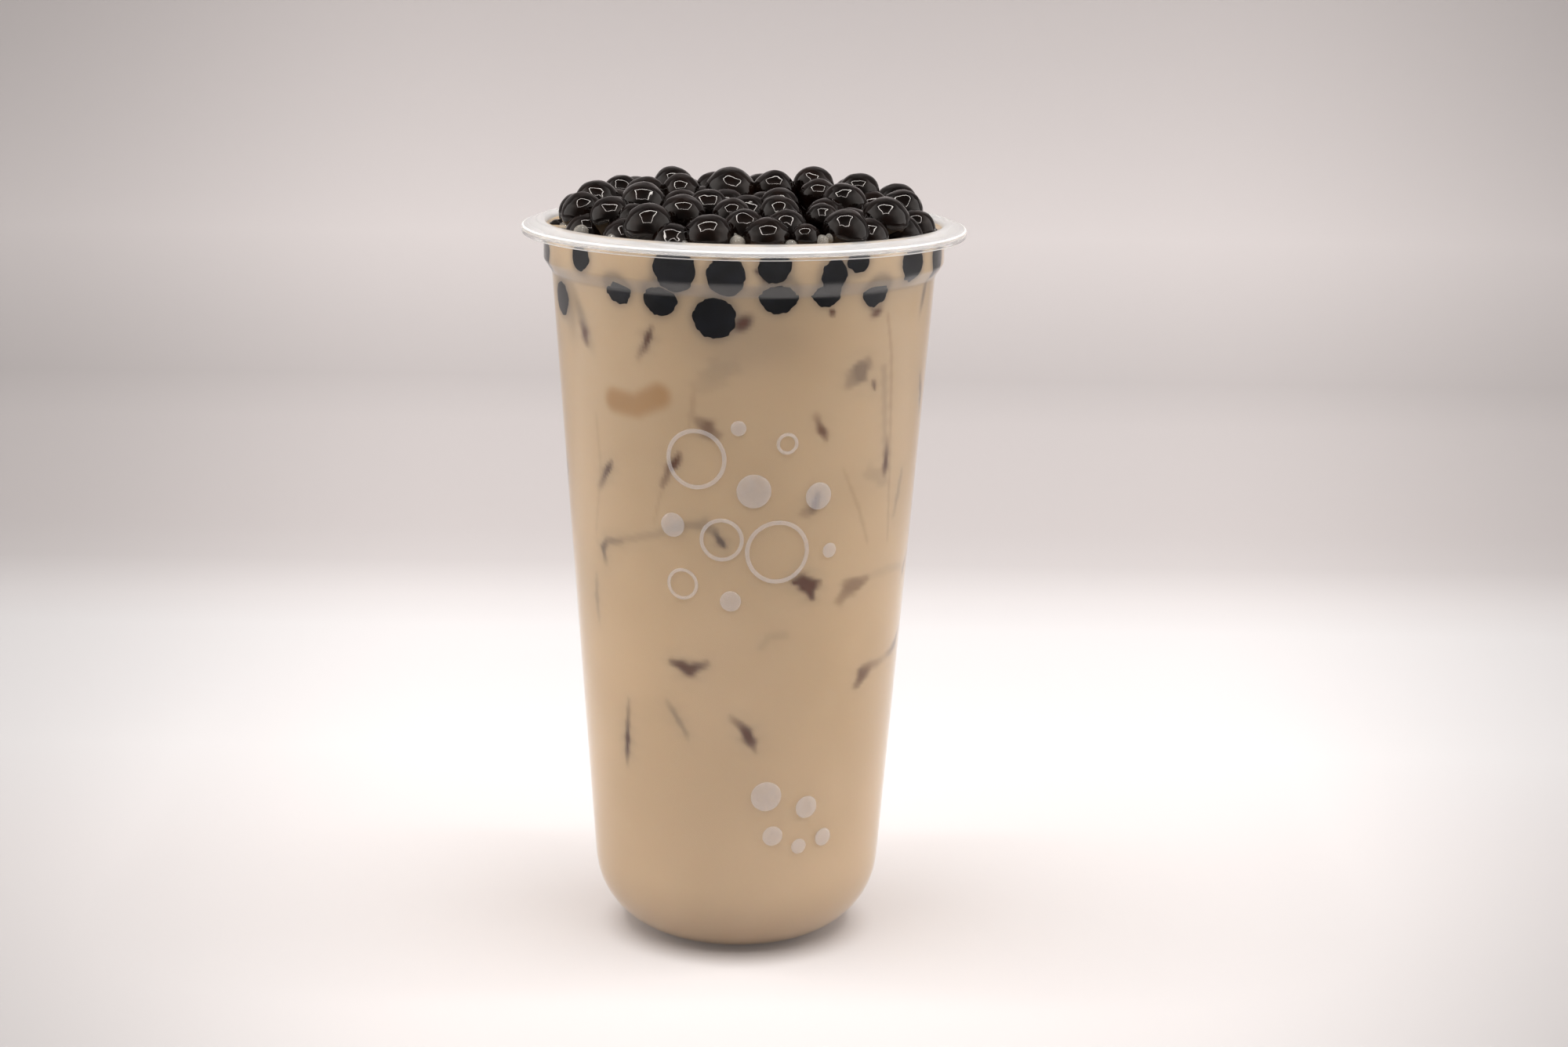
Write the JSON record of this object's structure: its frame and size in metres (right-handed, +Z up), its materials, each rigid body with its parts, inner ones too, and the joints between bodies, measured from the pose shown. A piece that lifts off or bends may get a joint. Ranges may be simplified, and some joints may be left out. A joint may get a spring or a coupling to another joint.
{
  "type": "bubble tea",
  "caption": "Milk tea with tapioca pearls heaped above the brim of a tall clear plastic cup with a wide sealing flange, a stacking ledge and a rounded base.",
  "frame": {"origin": "middle of the cup's flat base", "axes": "+Z up along the cup's axis; -Y is the side that faces the viewer"},
  "size_m": [0.095, 0.095, 0.169],
  "materials": {
    "clear_plastic": "clear moulded polypropylene, slightly hazy",
    "milk_tea": "opaque milky tea",
    "tapioca": "wet, glossy, nearly black"
  },
  "bodies": {
    "root": {"cup": "clear_plastic", "milk_tea": "milk_tea", "pearl_heap": "tapioca"}
  },
  "joints": []
}
